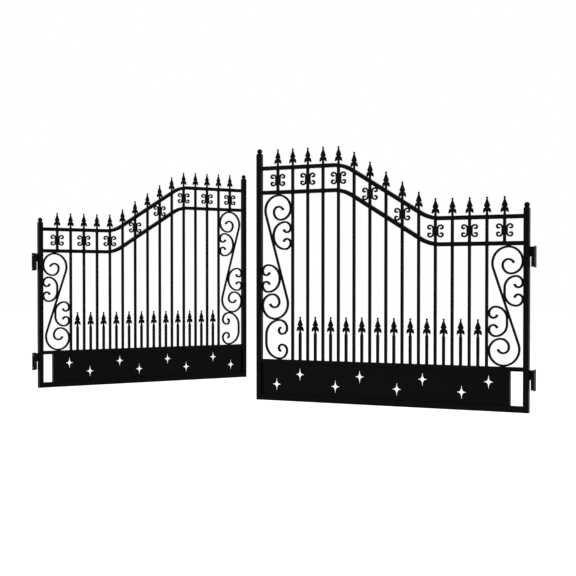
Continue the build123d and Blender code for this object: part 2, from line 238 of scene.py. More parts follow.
def mesh_of(name, build):
    """A mesh filled by a function that draws into a bmesh."""
    drawing = bmesh.new()
    build(drawing)
    bmesh.ops.recalc_face_normals(drawing, faces=drawing.faces)
    for edge in drawing.edges:
        edge.smooth = len(edge.link_faces) == 2 and edge.calc_face_angle(0) < hard_edge_angle
    for face in drawing.faces:
        face.smooth = True
    mesh = bpy.data.meshes.new(name)
    drawing.to_mesh(mesh)
    drawing.free()
    return mesh


print("edges sharper than", round(math.degrees(hard_edge_angle)), "degrees stay hard")

# %% [markdown]
# ## From a mesh to a piece on the gate
#
# A copy of the mesh is moved into place for each side, rides on its body and
# stands for the plain solid that it dresses. The object could be moved
# instead, but moving the points keeps every piece's origin at the gate's own
# origin. A place that mirrors a mesh turns it inside out, as a glove is when
# it changes hands, so its faces are then turned back.

# %% Put a piece on the gate
def put(name, mesh, coating, body, place, node=None):
    """One piece on the gate, from a mesh that was drawn on the flat leaf."""
    placed = mesh.copy()
    placed.transform(place)
    if place.determinant() < 0:
        placed.flip_normals()
    placed.materials.append(coating)
    piece = bpy.data.objects.new(name, placed)
    bpy.context.scene.collection.objects.link(piece)
    shading = piece.modifiers.new("even_flats", "WEIGHTED_NORMAL")
    shading.keep_sharp = True
    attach(piece, body)
    if node:
        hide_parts(node)
    return piece


def put_on_leaves(name, node, build, coating):
    """The same piece on both leaves, in the place of a node or beside the nodes."""
    mesh = mesh_of(name, build)
    for side, place in leaf_place.items():
        stands_for = f"{side}_{node}" if node else None
        put(f"{side}_{name}", mesh, coating, f"{side}_leaf", place, stands_for)
    print(name, len(mesh.polygons), "faces on each leaf")


print("pieces can be put on the", " and the ".join(leaf_place), "leaf")

# %% [markdown]
# ## Bars
#
# Almost everything on the gate is a bar: straight tube for the frame and the
# pickets, and flat bar bent into scrolls. Rolled and drawn bar has rounded
# corners, and those small curves are what catches the light on a black gate.
# A bevel modifier could round the corners, but it would also round the cut
# ends, so they are drawn into the section instead.

# %% The section of a bar
def rounded_section(width, depth, corner, steps=3):
    """Outline of a bar's section: across the leaf and through its depth."""
    outline = []
    for quarter, (side_a, side_d) in enumerate(((1, 1), (-1, 1), (-1, -1), (1, -1))):
        for step in range(steps + 1):
            angle = math.radians(90 * (quarter + step / steps))
            across = side_a * (width / 2 - corner) + corner * math.cos(angle)
            deep = side_d * (depth / 2 - corner) + corner * math.sin(angle)
            outline.append((across, deep))
    return outline


print("a bar's section has", len(rounded_section(stile_width, stile_width, MM)), "points")

# %% [markdown]
# ## A skin over rings
#
# Bars, spears, balls, barrels and weld beads are all rings of points, joined
# by bands of four-sided faces. Blender can bridge rings by itself, but it has
# to guess which points belong together. Here every ring is drawn in the same
# order, so each point simply joins the one with the same number.

# %% Join rings with faces
def band(drawing, near, far):
    """A band of faces between two rings of points."""
    for index in range(len(near)):
        following = (index + 1) % len(near)
        drawing.faces.new((near[index], near[following], far[following], far[index]))


def skin(drawing, rings):
    """A skin over a stack of rings, with a flat face at each end."""
    for near, far in zip(rings, rings[1:]):
        band(drawing, near, far)
    drawing.faces.new(rings[0])
    drawing.faces.new(list(reversed(rings[-1])))


def hoop(drawing, rings):
    """A skin over rings that come round to the first one again."""
    for near, far in zip(rings, rings[1:] + rings[:1]):
        band(drawing, near, far)


trial = bmesh.new()
skin(trial, [[trial.verts.new((u, d, v)) for u, d in ((0, 0), (1, 0), (0, 1))] for v in (0, 1)])
print("a three-cornered bar has", len(trial.faces), "faces")
trial.free()

# %% [markdown]
# ## Stations along a line
#
# A bar is its section, carried along a line. A curve with a bevel object does
# this too, but a smith spreads the end of a scroll with the hammer, and that
# needs a hold on each ring. So each point of the line becomes a station: its
# place, the way across the bar, and a scale. The way across is mitred, which
# keeps the bar's width in a bend, and it grows where the end is hammered out.

# %% Find the stations of a bar
sharpest_mitre = 0.5


def end_swell(points, index, swell, run):
    """How much wider the bar is here, where its hammered ends spread over a run."""
    from_start = sum((b - a).length for a, b in zip(points[:index], points[1:index + 1]))
    to_end = sum((b - a).length for a, b in zip(points[index:], points[index + 1:]))
    nearness = max(0.0, 1 - min(from_start, to_end) / run)
    return 1 + (swell - 1) * nearness * nearness * (3 - 2 * nearness)


def stations_of(points, swell, swell_run):
    """Place, way across and scale at each point of a bar's line."""
    stations = []
    last = len(points) - 1
    for index, point in enumerate(points):
        before = points[max(index - 1, 0)]
        after = points[min(index + 1, last)]
        into = (point - before).normalized() if index else (after - point).normalized()
        out = (after - point).normalized() if index < last else into
        ahead = (into + out).normalized()
        mitre = max(ahead.dot(into), sharpest_mitre)
        stretch = end_swell(points, index, swell, swell_run) / mitre
        stations.append((point, Vector((-ahead.y, ahead.x)) * stretch, 1.0))
    return stations


square_turn = stations_of([Vector((0, 0)), Vector((1, 0)), Vector((1, 1))], 1.0, 1.0)[1]
print("across a square corner a bar is", round(square_turn[1].length, 3), "times as wide")

# %% [markdown]
# ## The sweep
#
# A scroll's end is dressed round with the hammer, so two smaller stations
# are added at each end where a bar asks for it. A bevel could do this on the
# finished mesh, but picking the right edges on dozens of curls is harder than
# drawing the ends as they are. The section is then set at every station.

# %% Sweep a section along a line
shoulder_share = 0.3
shoulder_scale = 0.9
tip_scale = 0.72


def round_ends(stations, points, end_round):
    """Round off a bar: its last stations step back, and smaller ones take their place."""
    first_point, first_side = stations[0][:2]
    last_point, last_side = stations[-1][:2]
    back = (points[0] - points[1]).normalized() * end_round
    forward = (points[-1] - points[-2]).normalized() * end_round
    return [
        (first_point, first_side, tip_scale),
        (first_point - back * shoulder_share, first_side, shoulder_scale),
        (first_point - back, first_side, 1.0),
        *stations[1:-1],
        (last_point - forward, last_side, 1.0),
        (last_point - forward * shoulder_share, last_side, shoulder_scale),
        (last_point, last_side, tip_scale),
    ]


def sweep(drawing, line, section, end_round=0.0, swell=1.0, swell_run=1.0):
    """Carry a section along a line of (u, v) points; end_round softens the two ends."""
    points = [Vector(point) for point in line]
    stations = stations_of(points, swell, swell_run)
    if end_round:
        stations = round_ends(stations, points, end_round)
    rings = []
    for point, side, scale in stations:
        ring = []
        for across, deep in section:
            spot = point + side * across * scale
            ring.append(drawing.verts.new((spot.x, deep * scale, spot.y)))
        rings.append(ring)
    skin(drawing, rings)


trial = bmesh.new()
sweep(trial, [(0, 0), (1, 0)], rounded_section(stile_width, stile_width, MM), end_round=MM)
print("a straight bar with round ends has", len(trial.faces), "faces")
trial.free()

# %% [markdown]
# ## Lines drawn as a smith bends them
#
# A bar is bent in straights and arcs, each one tangent to the last. A freely
# placed spline could look similar, but nobody would know its radii. So this
# helper walks along the bar like a bending list: go straight for a length,
# or turn on a radius through an angle.

# %% Walk along a bar
def walk(start, heading, moves, step):
    """Points along a line of (0, length) straights and (radius, degrees) bends."""
    points = [Vector(start)]
    for radius, amount in moves:
        point = points[-1]
        ahead = math.radians(heading)
        if radius == 0:
            points.append(point + Vector((math.cos(ahead), math.sin(ahead))) * amount)
            continue
        turn = math.copysign(1, amount)
        centre = point + Vector((-math.sin(ahead), math.cos(ahead))) * radius * turn
        begin = heading - 90 * turn
        count = max(2, round(abs(amount) / step))
        for index in range(1, count + 1):
            angle = math.radians(begin + amount * index / count)
            points.append(centre + Vector((math.cos(angle), math.sin(angle))) * radius)
        heading += amount
    return points


quarter_end = walk((0, 0), 0, [(1, 90)], 6)[-1]
print("a quarter turn on 1 m ends at", [round(value, 3) for value in quarter_end])

# %% [markdown]
# ## The frame
#
# The stiles and the straight rails are square and rectangular steel tube,
# welded at the corners. Each could be a cube with a bevel, but the sweep that
# makes the scrolls also makes a straight tube, with the same soft corners.
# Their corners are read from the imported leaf, so they can't drift from it.

# %% Read a bar's place on the leaf
def box_on_leaf(node):
    """Low and high (u, v) corners of one of the closed right leaf's nodes."""
    low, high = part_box(f"right_{node}")
    start = hinge_stile_high.x
    return (start - high.x, low.z - leaf_bottom), (start - low.x, high.z - leaf_bottom)


def depth_of(node):
    """Depth of one of the closed right leaf's nodes."""
    low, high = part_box(f"right_{node}")
    return high.y - low.y


print("depth of the frame tubes", round(depth_of("top_rail"), 4), "m")

# %% [markdown]
# ## Straight tubes
#
# A stile is a tube that stands and a rail is a tube that lies. One helper
# with a switch would do for both, but two short ones read more easily. The
# real tubes are hollow; no open end shows, so they are drawn closed.

# %% Stiles, straight rails and the upright
tube_corner = 2.5 * MM


def upright_tube(drawing, low, high, depth, corner=tube_corner):
    """Vertical tube between two corners on the leaf."""
    middle = (low[0] + high[0]) / 2
    section = rounded_section(high[0] - low[0], depth, corner)
    sweep(drawing, [(middle, low[1]), (middle, high[1])], section)


def level_tube(drawing, low, high, depth, corner=tube_corner):
    """Horizontal tube between two corners on the leaf."""
    middle = (low[1] + high[1]) / 2
    section = rounded_section(high[1] - low[1], depth, corner)
    sweep(drawing, [(low[0], middle), (high[0], middle)], section)


for node, draw_tube in (
    ("hinge_stile", upright_tube), ("meeting_stile", upright_tube), ("panel_upright", upright_tube),
    ("panel_top_rail", level_tube), ("bottom_rail", level_tube),
):
    put_on_leaves(
        node + "_tube", node, lambda d: draw_tube(d, *box_on_leaf(node), depth_of(node)),
        frame_coat,
    )

# %% [markdown]
# ## The two arch rails
#
# Two rails run level, climb in a straight slope and run level again, with a
# smooth bend at each change, as they come off the bender. A spline through
# six points would bulge between them, so the line is walked in straights and
# arcs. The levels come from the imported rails. The slope and the bend radius
# can't be read from a box, so they repeat the values the rails were made with.

# %% Measure the arch
rail_height = 30 * MM
slope_run = 676 * MM
arch_bend_radius = 290 * MM
arch_low_corner, arch_high_corner = box_on_leaf("top_rail")
rail_start = arch_low_corner[0]
low_rail_top = arch_low_corner[1] + rail_height
high_rail_top = arch_high_corner[1]
arch_rise = high_rail_top - low_rail_top
arch_spacing = high_rail_top - box_on_leaf("second_rail")[1][1]
slope_angle = math.degrees(math.atan2(arch_rise, slope_run))
bend_tangent = arch_bend_radius * math.tan(math.radians(slope_angle / 2))
leaf_middle = leaf_width / 2
slope_start = leaf_middle - slope_run / 2
print("the arch rises", round(arch_rise, 4), "m on a slope of", round(slope_angle, 2), "degrees")

# %% [markdown]
# ## Sweep the arch rails
#
# Both rails are the same line at two heights. Copying the top rail's mesh
# down would do here, but one line with a drop says what the fabricator does:
# two bars are bent on the same jig.

# %% Draw the arch rails
arch_bend_step = 2.5


def arch_line(drop):
    """Centre line of an arch rail that lies this far below the top rail."""
    flat = slope_start - rail_start - bend_tangent
    moves = [
        (0, flat),
        (arch_bend_radius, slope_angle),
        (0, math.hypot(slope_run, arch_rise) - 2 * bend_tangent),
        (arch_bend_radius, -slope_angle),
        (0, flat),
    ]
    return walk((rail_start, low_rail_top - drop - rail_height / 2), 0, moves, arch_bend_step)


for node, drop in (("top_rail", 0), ("second_rail", arch_spacing)):
    section = rounded_section(rail_height, depth_of(node), tube_corner)
    put_on_leaves(
        node + "_tube", node, lambda d: sweep(d, arch_line(drop), section),
        frame_coat,
    )

# %% [markdown]
# ## How high the arch is
#
# Pickets, spears and beads all follow the arch, so they need its height at
# any place along the leaf. It could be looked up on the finished mesh, but a
# formula is exact: nothing on the level, a circle in the bend, a line on the
# slope. The upper half of the arch is the lower half turned round.

# %% Height of the arch at a place
def arch_height(place):
    """Height of the arch above its low end, at a place along the leaf."""
    if place > leaf_middle:
        return arch_rise - arch_height(leaf_width - place)
    into_bend = place - (slope_start - bend_tangent)
    bend_run = arch_bend_radius * math.sin(math.radians(slope_angle))
    if into_bend <= 0:
        return 0.0
    if into_bend < bend_run:
        return arch_bend_radius - math.sqrt(arch_bend_radius**2 - into_bend**2)
    return (place - slope_start) * math.tan(math.radians(slope_angle))


print("half way along, the arch has climbed", round(arch_height(leaf_middle), 4), "m")

# %% [markdown]
# ## Pickets and dog bars
#
# The pickets are square bar. They stand on the kick panel's top rail, pass
# through holes punched in the second rail and end under the top rail. The
# dog bars are the short ones between them that keep small animals in. An
# array modifier would repeat one length, but under an arch each picket has
# its own, so a loop draws them. Their tops run into the top rail a little,
# and the rail hides the cut.

# %% Places of the pickets and the dog bars
picket_count = 15
picket_pitch = 127 * MM
picket_width = depth_of("pickets")
half_picket = picket_width / 2
picket_places = [
    leaf_middle + (index - (picket_count - 1) / 2) * picket_pitch for index in range(picket_count)
]
dog_bar_places = [place + picket_pitch / 2 for place in picket_places[1:-2]]
panel_top = box_on_leaf("panel_top_rail")[1][1]
dog_bar_top = box_on_leaf("dog_bars")[1][1]
print(len(picket_places), "pickets and", len(dog_bar_places), "dog bars,", round(picket_width, 4), "m thick")

# %% [markdown]
# ## Stand the bars up
#
# The first and the last picket are short: they only span the two arch rails,
# because a scroll panel fills the space below them. A separate piece could
# hold those two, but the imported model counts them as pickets, so they are
# drawn with the others.

# %% Draw the pickets and the dog bars
bar_corner = 2 * MM


def draw_pickets(drawing):
    """The full pickets, and the short bar at each end of the arch."""
    for place in picket_places:
        rail_top = low_rail_top + arch_height(place)
        short = place in (picket_places[0], picket_places[-1])
        bottom = rail_top - arch_spacing if short else panel_top
        low = (place - half_picket, bottom)
        high = (place + half_picket, rail_top - rail_height / 2)
        upright_tube(drawing, low, high, picket_width, bar_corner)


def draw_dog_bars(drawing):
    """The short bars between the pickets."""
    for place in dog_bar_places:
        low = (place - half_picket, panel_top)
        upright_tube(drawing, low, (place + half_picket, dog_bar_top), picket_width, bar_corner)


put_on_leaves("picket_bars", "pickets", draw_pickets, frame_coat)
put_on_leaves("dog_bar_uprights", "dog_bars", draw_dog_bars, frame_coat)

# %% [markdown]
# ## Spear finials
#
# The spears are small castings: a round neck, two barbs that hook down like
# a fishtail, a pinched waist, a leaf-shaped blade and a button at the tip.
# They could be sculpted, but a stack of rings is easier to correct: each row
# is a height, a half width and a half thickness. Where the blade is much
# wider than thick, its ring draws in to a soft diamond, and that is the ridge.

# %% The middle of a spear
# Rows of height above the seat, half width and half thickness, in millimetres
spear_rows = (
    (-14, 9, 9), (0, 9, 9), (3, 9.2, 9.2), (24, 8.8, 8.8), (32, 10.5, 9), (44, 14, 9),
    (50, 15.4, 8.4), (53, 15, 7.6), (56, 17, 7.6), (60, 21.5, 8.2), (63, 23, 8.4), (67, 22.6, 8.6),
    (74, 20, 8.4), (84, 16, 8), (96, 11.2, 7), (106, 7.6, 6), (112, 5.6, 5.4), (115, 5.6, 5.6),
    (118, 7.4, 7.4), (121, 8.2, 8.2), (125, 7.8, 7.8), (127.4, 5.6, 5.6), (128, 2.5, 2.5),
)
spear_sides = 16
full_ridge_at = 8
ridge_draw = 0.7


def spear_ring(drawing, place, height, wide, thick):
    """One ring of the spear, from round to a softened diamond as it gets wider."""
    ridge = max(0.0, min(1.0, (wide - thick) / full_ridge_at))
    power = 1.0 + ridge_draw * ridge
    ring = []
    for index in range(spear_sides):
        angle = 2 * math.pi * index / spear_sides
        across = math.copysign(abs(math.cos(angle)) ** power, math.cos(angle))
        deep = math.copysign(abs(math.sin(angle)) ** power, math.sin(angle))
        ring.append(drawing.verts.new((place + across * wide * MM, deep * thick * MM, height)))
    return ring


print("a spear stands", spear_rows[-1][0], "mm above its seat")

# %% [markdown]
# ## The barbs
#
# A barb is a flat wing that springs from the neck and hooks down, thick in
# the middle and thin at its edge. Subdividing a rough block would round it,
# but the hook would lose its shape. So its outline is drawn once, and a
# smaller copy of it, raised on both faces, gives the thickness.

# %% Draw one barb
# Places out from the spear's middle and up from its seat, in millimetres
barb_outline = (
    (3, 25), (9, 26), (14, 23), (20, 19), (25, 16), (28.4, 16.2), (29.8, 20.5), (29, 28),
    (27.5, 37), (25.5, 45), (21, 49.5), (13, 53), (3, 54),
)
barb_heart = (15, 36)
heart_share = (0.7, 0.72)
barb_thickness = 12 * MM
rim_share = 0.28


def barb_face(drawing, place, seat, side, face_way):
    """One face of a barb, from its thin rim to its raised flat; gives back the rim."""
    rim = []
    raised = []
    for out, up in barb_outline:
        rim_spot = (place + side * out * MM, face_way * barb_thickness * rim_share, seat + up * MM)
        rim.append(drawing.verts.new(rim_spot))
        in_out = barb_heart[0] + (out - barb_heart[0]) * heart_share[0]
        in_up = barb_heart[1] + (up - barb_heart[1]) * heart_share[1]
        raised_spot = (place + side * in_out * MM, face_way * barb_thickness / 2, seat + in_up * MM)
        raised.append(drawing.verts.new(raised_spot))
    drawing.faces.new(raised)
    band(drawing, rim, raised)
    return rim


def draw_barb(drawing, place, seat, side):
    """One hooked wing beside the neck, thinner towards its edge."""
    front = barb_face(drawing, place, seat, side, 1)
    back = barb_face(drawing, place, seat, side, -1)
    band(drawing, front, back)


print("barbs reach", max(out for out, up in barb_outline), "mm to each side")

# %% [markdown]
# ## Spears on the top rail and on the dog bars
#
# The same casting is welded over every picket and on every dog bar. Linked
# copies would save memory, but that makes some fifty pieces to keep track of.
# So each row of spears is one mesh, which rides on its leaf as one piece. The
# neck starts below its seat, so it meets the slope of the rail with no gap.

# %% Stand the spears up
def draw_spear(drawing, place, seat):
    """A whole spear standing at a place along the leaf."""
    rings = [
        spear_ring(drawing, place, seat + up * MM, wide, thick) for up, wide, thick in spear_rows
    ]
    skin(drawing, rings)
    for side in (-1, 1):
        draw_barb(drawing, place, seat, side)


def draw_picket_spears(drawing):
    """One spear over each picket, its neck running into the sloping rail."""
    for place in picket_places:
        draw_spear(drawing, place, low_rail_top + arch_height(place))


def draw_dog_bar_spears(drawing):
    """One spear on each dog bar."""
    for place in dog_bar_places:
        draw_spear(drawing, place, dog_bar_top)


put_on_leaves("picket_spears", "picket_finials", draw_picket_spears, casting_coat)
put_on_leaves("dog_bar_spears", "dog_bar_finials", draw_dog_bar_spears, casting_coat)

# %% [markdown]
# ## Ball caps
#
# A cast cap closes each stile: a short sloped foot, a neck and a ball. A
# sphere on a squashed cube would show a seam between them. It is a stack of
# rings too, where each ring blends from a square to a circle: the lowest ones
# are square like the stile, and from the neck up they are round.

# %% Rings of a ball cap
# Rows of height and half width in millimetres, and roundness from 0 to 1
cap_foot_rows = ((0, 20, 0.0), (2, 19.6, 0.05), (7, 16, 0.15), (10.5, 12.5, 0.4), (12.5, 10.6, 0.8))
ball_radius = 20 * MM
ball_middle = box_on_leaf("stile_caps")[1][1] - meeting_stile_top - ball_radius
ball_neck = 9 * MM
ball_steps = 14
ball_last_angle = math.pi / 2 - 0.06
ball_top_flat = 0.4 * MM


def square_to_round(angle, half, roundness):
    """Distance from the middle to a shape between a square and a circle."""
    to_square = half / max(abs(math.cos(angle)), abs(math.sin(angle)))
    return to_square + (half - to_square) * roundness


def cap_rows():
    """Height, half width and roundness of each ring of a cap."""
    rows = [(up * MM, half * MM, roundness) for up, half, roundness in cap_foot_rows]
    start = -math.acos(ball_neck / ball_radius)
    for step in range(ball_steps + 1):
        angle = start + (ball_last_angle - start) * step / ball_steps
        height = ball_middle + ball_radius * math.sin(angle)
        rows.append((height, ball_radius * math.cos(angle), 1.0))
    rows.append((ball_middle + ball_radius, ball_top_flat, 1.0))
    return rows


print("a cap is", len(cap_rows()), "rings, and stands", round(cap_rows()[-1][0], 4), "m high")

# %% [markdown]
# ## Set the caps on the stiles
#
# The two stiles of a leaf have the same cap at two heights. A ring could
# start at the side of the stile, but then a point would fall on each corner
# of the foot and leave it sharp. Starting half a step further puts a point on
# both sides of each corner instead, which rounds it off as a casting is.

# %% Draw the ball caps
cap_sides = 32


def draw_cap(drawing, place, base):
    """One ball cap on a stile."""
    rings = []
    for up, half, roundness in cap_rows():
        ring = []
        for index in range(cap_sides):
            angle = 2 * math.pi * (index + 0.5) / cap_sides
            reach = square_to_round(angle, half, roundness)
            spot = (place + reach * math.cos(angle), reach * math.sin(angle), base + up)
            ring.append(drawing.verts.new(spot))
        rings.append(ring)
    skin(drawing, rings)


def draw_caps(drawing):
    """The caps of a leaf's two stiles."""
    draw_cap(drawing, stile_width / 2, hinge_stile_top)
    draw_cap(drawing, leaf_width - stile_width / 2, meeting_stile_top)


put_on_leaves("ball_caps", "stile_caps", draw_caps, casting_coat)

# %% [markdown]
# ## Scroll panels
#
# A scroll is a bar bent tighter and tighter, so its line is a chain of
# quarter turns that shrink, each one tangent to the last. A spiral formula
# would shrink evenly, but it is hard to make it touch the sides of a panel.
# The S scroll fills the panel with its straight middle as a diagonal, and the
# C scrolls nestle against that diagonal, one on each side.

# %% A scroll with two arms
bend_step = 6.0


def two_arm_line(middle, heading, arm, other_arm):
    """Line of a scroll that runs both ways from its middle point."""
    forward = walk(middle, heading, arm, bend_step)
    backward = walk(middle, heading + 180, other_arm, bend_step)
    return list(reversed(backward)) + forward[1:]


print("a quarter turn of a scroll has", round(90 / bend_step), "short straights")

# %% [markdown]
# ## The S scroll
#
# An S scroll has a large loop at each end and a straight between them that
# touches both. The straight could be found by trial, but it is the inner
# tangent of two equal circles, and that has a formula: its lean from the line
# between the centres is the arcsine of their two radii over their distance.

# %% Line of an S scroll
scroll_bar = 15 * MM
half_bar = scroll_bar / 2
loop_side_gap = 23 * MM
loop_first_share = 0.53
loop_inner_shares = (0.39, 0.27, 0.19)
loop_end_share = 0.19
loop_end_angle = 70


def s_parts(low, high, low_v, high_v):
    """First radius, start, end and heading of an S scroll's straight."""
    first = (high - low - loop_side_gap) * loop_first_share
    low_centre = Vector((low + loop_side_gap + first, low_v + half_bar + first))
    high_centre = Vector((high - loop_side_gap - first, high_v - half_bar - first))
    between = high_centre - low_centre
    lean = math.degrees(math.asin(2 * first / between.length))
    heading = math.degrees(math.atan2(between.y, between.x)) - lean
    side = Vector((math.sin(math.radians(heading)), -math.cos(math.radians(heading)))) * first
    return first, low_centre - side, high_centre + side, heading


def s_line(low, high, low_v, high_v):
    """Line of the S scroll of a panel."""
    first, start, end, heading = s_parts(low, high, low_v, high_v)
    width = high - low - loop_side_gap
    arm = [(0, (end - start).length / 2), (first, 180 - heading), (width - first, 90)]
    arm += [(width * share, 90) for share in loop_inner_shares]
    arm += [(width * loop_end_share, loop_end_angle)]
    return two_arm_line((start + end) / 2, heading, arm, arm)


curl_angle = 90 * (1 + len(loop_inner_shares)) + loop_end_angle
print("each arm of an S scroll curls", curl_angle, "degrees past its first bend")

# %% [markdown]
# ## The C scrolls beside it
#
# Each C scroll rests with its belly's bends against the S scroll's straight
# and with its arms against the side of the panel. It could be nudged until it
# looks right. Here its largest radius is worked out from both: the circle has
# to reach from the arm's end to the straight, a bar's thickness away from it.

# %% Lines of the C scrolls
c_place = 315 * MM
c_half_height = 103 * MM
c_curls = (47 * MM, 31 * MM)
c_end_curl = 28 * MM
c_end_angle = 80


def c_line(belly, opens, belly_straight, bends):
    """Line of a C scroll that opens to -1 or 1 along the leaf."""
    arms = []
    for turn in (-opens, opens):
        arms.append([(0, belly_straight)] + [(radius, degrees * turn) for radius, degrees in bends])
    return two_arm_line(belly, 90, arms[0], arms[1])


def curl(big, curls, end_curl):
    """Bends of one arm of a large C scroll, from its belly inwards."""
    return [(radius, 90) for radius in (big, *curls)] + [(end_curl, c_end_angle)]


def side_c_lines(low, high, low_v, high_v):
    """Lines of the two C scrolls beside the S scroll's straight middle."""
    start, heading = s_parts(low, high, low_v, high_v)[1::2]
    across = math.sin(math.radians(heading))
    up = math.cos(math.radians(heading))
    lines = []
    for opens in (-1, 1):
        height = high_v - c_place if opens < 0 else low_v + c_place
        arm_end_u = (low if opens < 0 else high) - opens * c_curls[0]
        arm_end_v = height + opens * c_half_height
        away = opens * ((arm_end_u - start.x) * across - (arm_end_v - start.y) * up)
        big = (away - scroll_bar) / (1 - up)
        belly = (arm_end_u - opens * big, height)
        lines.append(c_line(belly, opens, c_half_height - big, curl(big, c_curls, c_end_curl)))
    return lines


print("the centre lines of the C scrolls stand", round(2 * c_half_height, 4), "m high")

# %% [markdown]
# ## The two panels of a leaf
#
# One panel lies beside the hinge stile and a taller one beside the meeting
# stile. The taller one has room for one more C scroll under its S scroll. The
# panels' corners could be typed in, but here they follow the stiles, the
# pickets and the rails, as a smith measures the opening before bending.

# %% Measure the panels and the low C scroll
low_c_height = 308 * MM
low_c_side_gap = 30.5 * MM
low_c_curls = (63 * MM, 43 * MM, 27 * MM)
low_c_end_curl = 22 * MM
hinge_panel = (
    stile_width + half_bar, picket_places[1] - half_picket - half_bar,
    panel_top, low_rail_top - arch_spacing - rail_height,
)
meeting_panel = (
    picket_places[-2] + half_picket + half_bar, leaf_width - stile_width - half_bar,
    box_on_leaf("meeting_side_s_scroll")[0][1], high_rail_top - arch_spacing - rail_height,
)


def low_c_line():
    """Line of the C scroll under the S scroll of the taller panel."""
    low, high = meeting_panel[:2]
    big = high - low - 2 * low_c_side_gap - low_c_curls[0]
    belly_straight = (low_c_height - scroll_bar) / 2 - big
    belly = (high - low_c_side_gap, panel_top + low_c_height / 2)
    return c_line(belly, -1, belly_straight, curl(big, low_c_curls, low_c_end_curl))


for name, panel in (("hinge", hinge_panel), ("meeting", meeting_panel)):
    print(name, "side panel, from and to along and up:", [round(edge, 3) for edge in panel])

# %% [markdown]
# ## Bend the large scrolls
#
# The last stretch of each curl is hammered a little wider, and its end is
# dressed round, so the bar doesn't end in a saw cut. A taper object could
# widen a curve, but it would follow the whole length of the bar and change
# with it. The sweep widens a fixed run at each end instead.

# %% Draw the large scrolls
scroll_corner = 3 * MM
scroll_end_round = 3 * MM
scroll_section = rounded_section(scroll_bar, depth_of("hinge_side_s_scroll"), scroll_corner)
scroll_swell = 1.15
scroll_swell_run = 30 * MM


def draw_lines(lines, section, swell, swell_run):
    """A drawing function that sweeps one section along several lines."""
    def build(drawing):
        for line in lines:
            sweep(drawing, line, section, scroll_end_round, swell, swell_run)
    return build


for node, lines in (
    ("hinge_side_s_scroll", [s_line(*hinge_panel)]),
    ("hinge_side_c_scrolls", side_c_lines(*hinge_panel)),
    ("meeting_side_s_scroll", [s_line(*meeting_panel)]),
    ("meeting_side_c_scrolls", side_c_lines(*meeting_panel) + [low_c_line()]),
):
    put_on_leaves(
        node + "_bar", node, draw_lines(lines, scroll_section, scroll_swell, scroll_swell_run),
        scroll_coat,
    )

# %% [markdown]
# ## Butterfly scrolls
#
# On every other picket, between the arch rails, two small C scrolls are
# welded back to back. One of them could be modelled and mirrored with a
# modifier, but the same C line with its opening turned round does it in one
# loop. They are bent from lighter bar, and their straight backs lie along the
# sides of the picket.

# %% Draw the butterfly scrolls
small_bar = 12.5 * MM
small_corner = 2.5 * MM
small_straight = 17 * MM
small_bends = [(24 * MM, 90), (15.5 * MM, 90), (10 * MM, 90), (7 * MM, 95)]
small_section = rounded_section(small_bar, depth_of("butterfly_scrolls"), small_corner, steps=2)
small_swell = 1.2
small_swell_run = 14 * MM


def butterfly_lines():
    """Lines of all the small scrolls of a leaf."""
    lines = []
    for place in picket_places[::2]:
        height = low_rail_top + arch_height(place) - (arch_spacing + rail_height) / 2
        for opens in (-1, 1):
            belly = (place + opens * (half_picket + small_bar / 2), height)
            lines.append(c_line(belly, opens, small_straight, small_bends))
    return lines


put_on_leaves(
    "butterfly_scroll_bars", "butterfly_scrolls",
    draw_lines(butterfly_lines(), small_section, small_swell, small_swell_run),
    scroll_coat,
)

# %% [markdown]
# ## Weld beads
#
# Every bar on the gate is welded, and the paint goes over the beads. A bead
# is a small fillet that runs round the foot of a bar, a little uneven from
# one ripple to the next. It could be bump in the material, but beads show on
# the outline of the gate, so they are geometry. First comes the way round:
# points on the side of the bar, each with the way that leads out from it.

# %% The way round a bar
corner_way = 0.7


def square_ring(half_a, half_b, steps=4):
    """Points round a square bar: place across, place deep and the way out."""
    ring = []
    corners = ((1, 1), (-1, 1), (-1, -1), (1, -1))
    for index, (here, there) in enumerate(zip(corners, corners[1:] + corners[:1])):
        ring.append((here[0] * half_a, here[1] * half_b, here[0] * corner_way, here[1] * corner_way))
        way = (0, here[1]) if index % 2 == 0 else (here[0], 0)
        for step in range(1, steps):
            share = step / steps
            across = half_a * (here[0] * (1 - share) + there[0] * share)
            deep = half_b * (here[1] * (1 - share) + there[1] * share)
            ring.append((across, deep, *way))
    return ring


def round_ring(radius, steps=16):
    """Points round a round bar, as for a square one."""
    turns = [2 * math.pi * step / steps for step in range(steps)]
    return [
        (radius * math.cos(turn), radius * math.sin(turn), math.cos(turn), math.sin(turn))
        for turn in turns
    ]


picket_ring = square_ring(half_picket, half_picket)
neck_radius = spear_rows[0][1] * MM
neck_ring = round_ring(neck_radius)
print("beads have", len(picket_ring), "ripples round a picket and", len(neck_ring), "round a neck")

# %% [markdown]
# ## Lay a bead
#
# A bead's section is a quarter round that sits in the corner between two
# bars and reaches a little into both, so no gap can show. Noise could make it
# uneven, but a welder's ripples are steps rather than waves: each point of
# the ring gets its own size, drawn from a seeded row of random numbers, so
# the beads come out the same in every run.

# %% Draw a bead round a joint
ripples = random.Random(7)
ripple_sizes = (0.8, 1.15)
# Places out from the bar and along it, as shares of the bead's size
bead_profile = [(-0.3, -0.3), (1.0, -0.3), (0.95, 0.25), (0.62, 0.62), (0.25, 0.95), (-0.3, 1.0)]


def bead(drawing, foot, across, deep, along, ring, size):
    """A fillet bead round a bar that runs off from its foot in the way called along."""
    foot, across, deep, along = (Vector(part) for part in (foot, across, deep, along))
    sections = []
    for place_a, place_b, way_a, way_b in ring:
        swell = size * ripples.uniform(*ripple_sizes)
        root = foot + across * place_a + deep * place_b
        out = across * way_a + deep * way_b
        sections.append([
            drawing.verts.new(root + out * part_out * swell + along * part_up * swell)
            for part_out, part_up in bead_profile
        ])
    hoop(drawing, sections)


